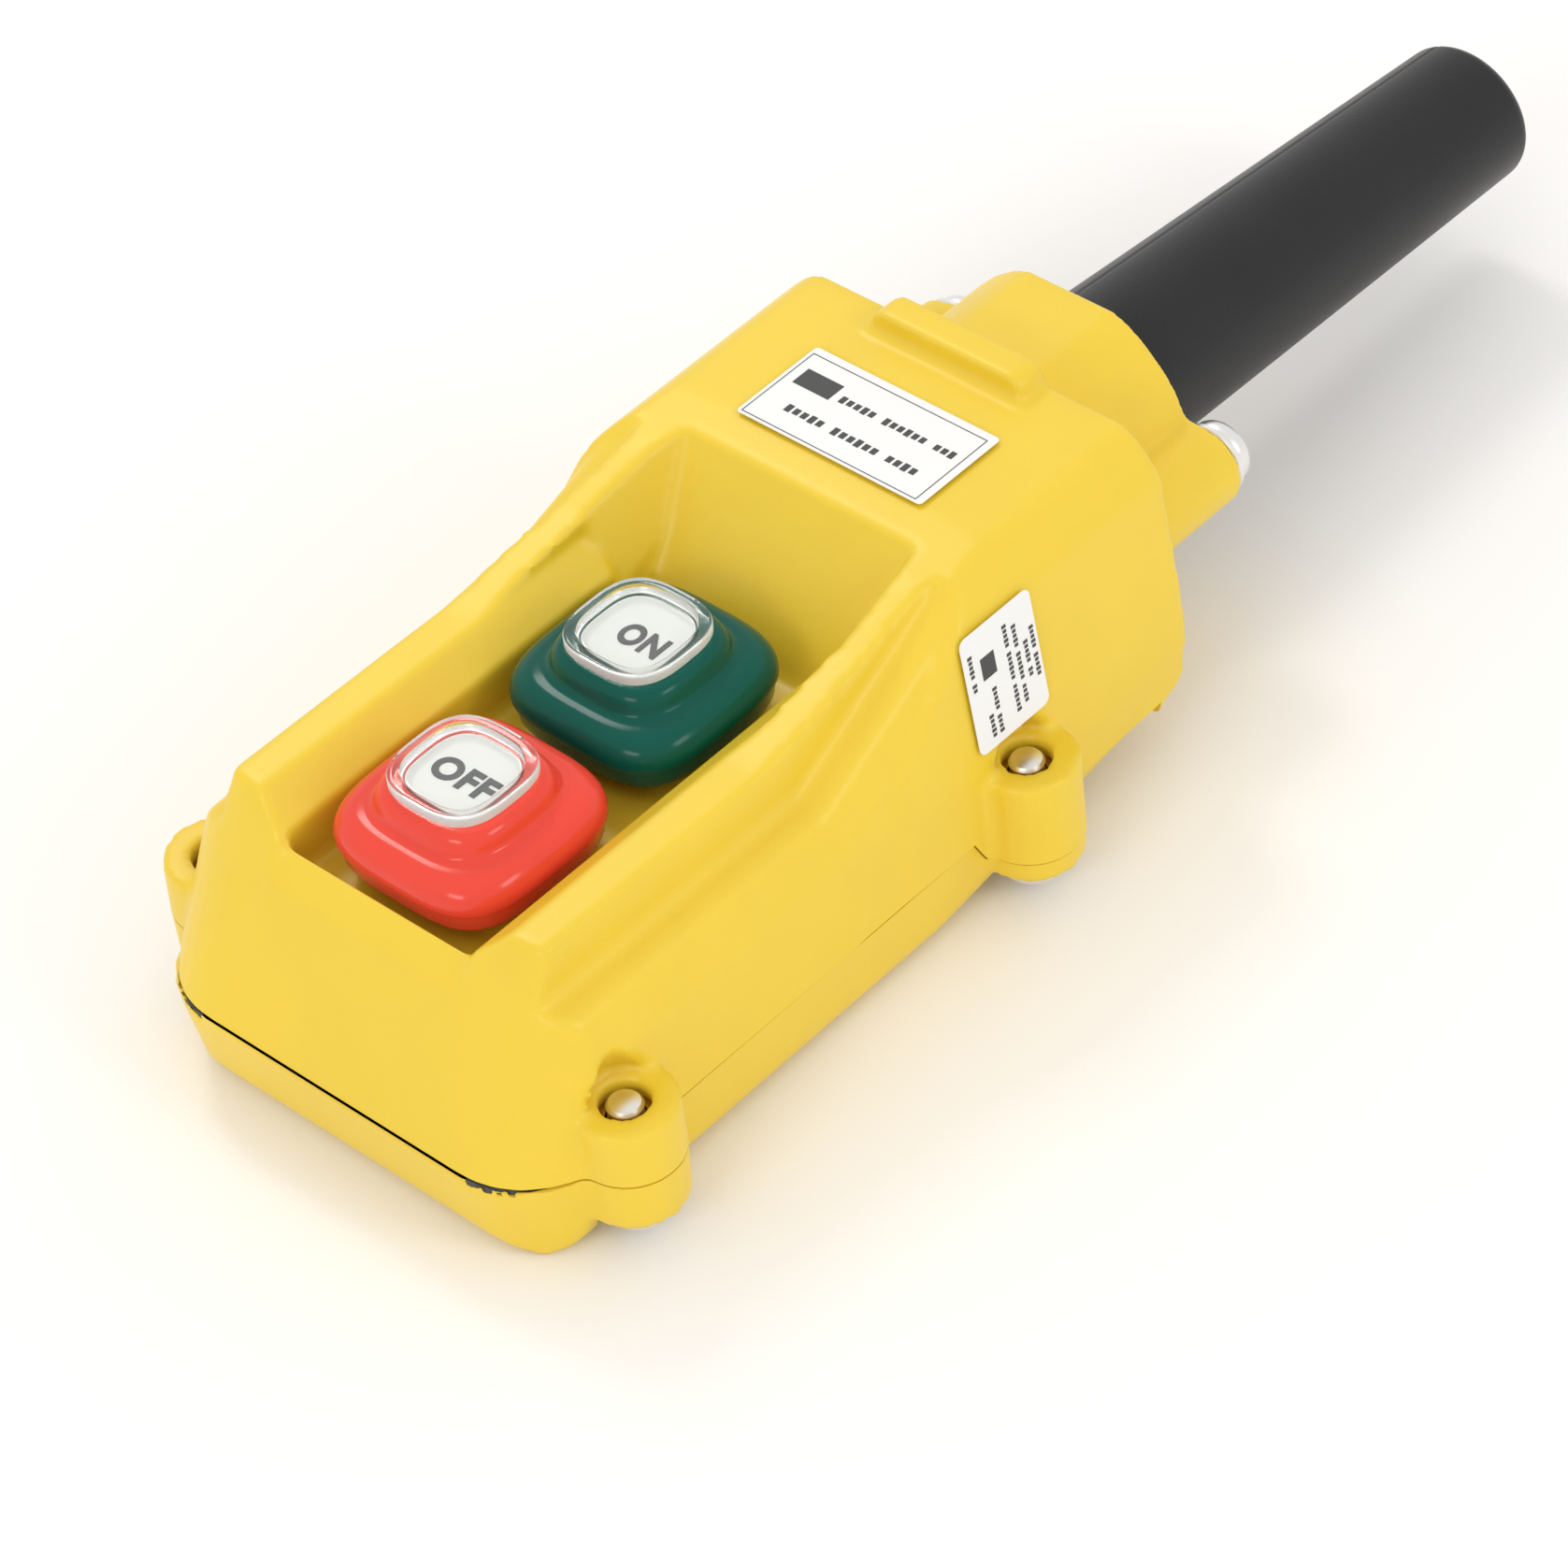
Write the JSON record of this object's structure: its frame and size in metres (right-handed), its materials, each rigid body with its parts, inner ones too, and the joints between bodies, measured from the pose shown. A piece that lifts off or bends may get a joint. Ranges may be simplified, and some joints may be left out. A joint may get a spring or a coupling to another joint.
{
  "type": "pendant control station",
  "caption": "Hand-held pendant push-button station for a hoist: yellow casing with guarded OFF and ON buttons, lug screws, cable collar and rubber cable boot.",
  "frame": {"origin": "under the middle of the object, on the plane of its flat back", "axes": "+Z out of the back through the buttons, +Y from the OFF end to the cable boot, +X to the side that carries the side label"},
  "size_m": [0.0862, 0.2362, 0.0541],
  "materials": {
    "yellow_plastic": "fine matte grain, moulded",
    "red_plastic": "glossy moulded",
    "green_plastic": "glossy moulded",
    "clear_plastic": "clear, polished",
    "legend_white": "smooth white plate",
    "label_white": null,
    "black_rubber": "satin moulded rubber",
    "seal_rubber": "matte",
    "bright_steel": "bright zinc plated",
    "brass": "plain turned",
    "dark_moulding": "phenolic moulding"
  },
  "bodies": {
    "station": {"front_casing": "yellow_plastic", "rear_cover": "yellow_plastic", "cable_collar": "yellow_plastic", "cover_gasket": "seal_rubber", "cover_screw_1": "bright_steel", "lug_insert_1": "brass", "cover_screw_2": "bright_steel", "lug_insert_2": "brass", "cover_screw_3": "bright_steel", "lug_insert_3": "brass", "cover_screw_4": "bright_steel", "lug_insert_4": "brass", "top_label": "label_white", "side_label": "label_white", "cable_boot": "black_rubber", "boot_clamp_ring": "bright_steel", "collar_screw_left": "bright_steel", "collar_screw_right": "bright_steel", "collar_washer_left": "bright_steel", "collar_washer_right": "bright_steel", "clamp_screw_left": "bright_steel", "clamp_screw_right": "bright_steel", "contact_strap": "bright_steel", "strap_screw_left": "bright_steel", "strap_screw_right": "bright_steel", "cable_clamp": "dark_moulding", "off_contact_block": "dark_moulding", "off_spring": "bright_steel", "off_terminal_screw_left": "bright_steel", "off_terminal_screw_right": "bright_steel", "off_shaft_seal": "seal_rubber", "off_terminal_left": "brass", "off_terminal_right": "brass", "on_contact_block": "dark_moulding", "on_spring": "bright_steel", "on_terminal_screw_left": "bright_steel", "on_terminal_screw_right": "bright_steel", "on_shaft_seal": "seal_rubber", "on_terminal_left": "brass", "on_terminal_right": "brass"},
    "off_button": {"off_button_cap": "red_plastic", "off_lens": "clear_plastic", "off_legend": "legend_white", "off_plunger": "dark_moulding", "off_contact_bridge": "brass"},
    "on_button": {"on_button_cap": "green_plastic", "on_lens": "clear_plastic", "on_legend": "legend_white", "on_plunger": "dark_moulding", "on_contact_bridge": "brass"}
  },
  "joints": [
    {"name": "off_press", "type": "slide", "parent": "station", "child": "off_button", "axis": [0, 0, -1], "range_m": [0, 0.003], "stiffness_N_per_m": 1500, "springref_m": -0.002, "deforming": ["off_spring"]},
    {"name": "on_press", "type": "slide", "parent": "station", "child": "on_button", "axis": [0, 0, -1], "range_m": [0, 0.003], "stiffness_N_per_m": 1500, "springref_m": -0.002, "deforming": ["on_spring"]}
  ]
}
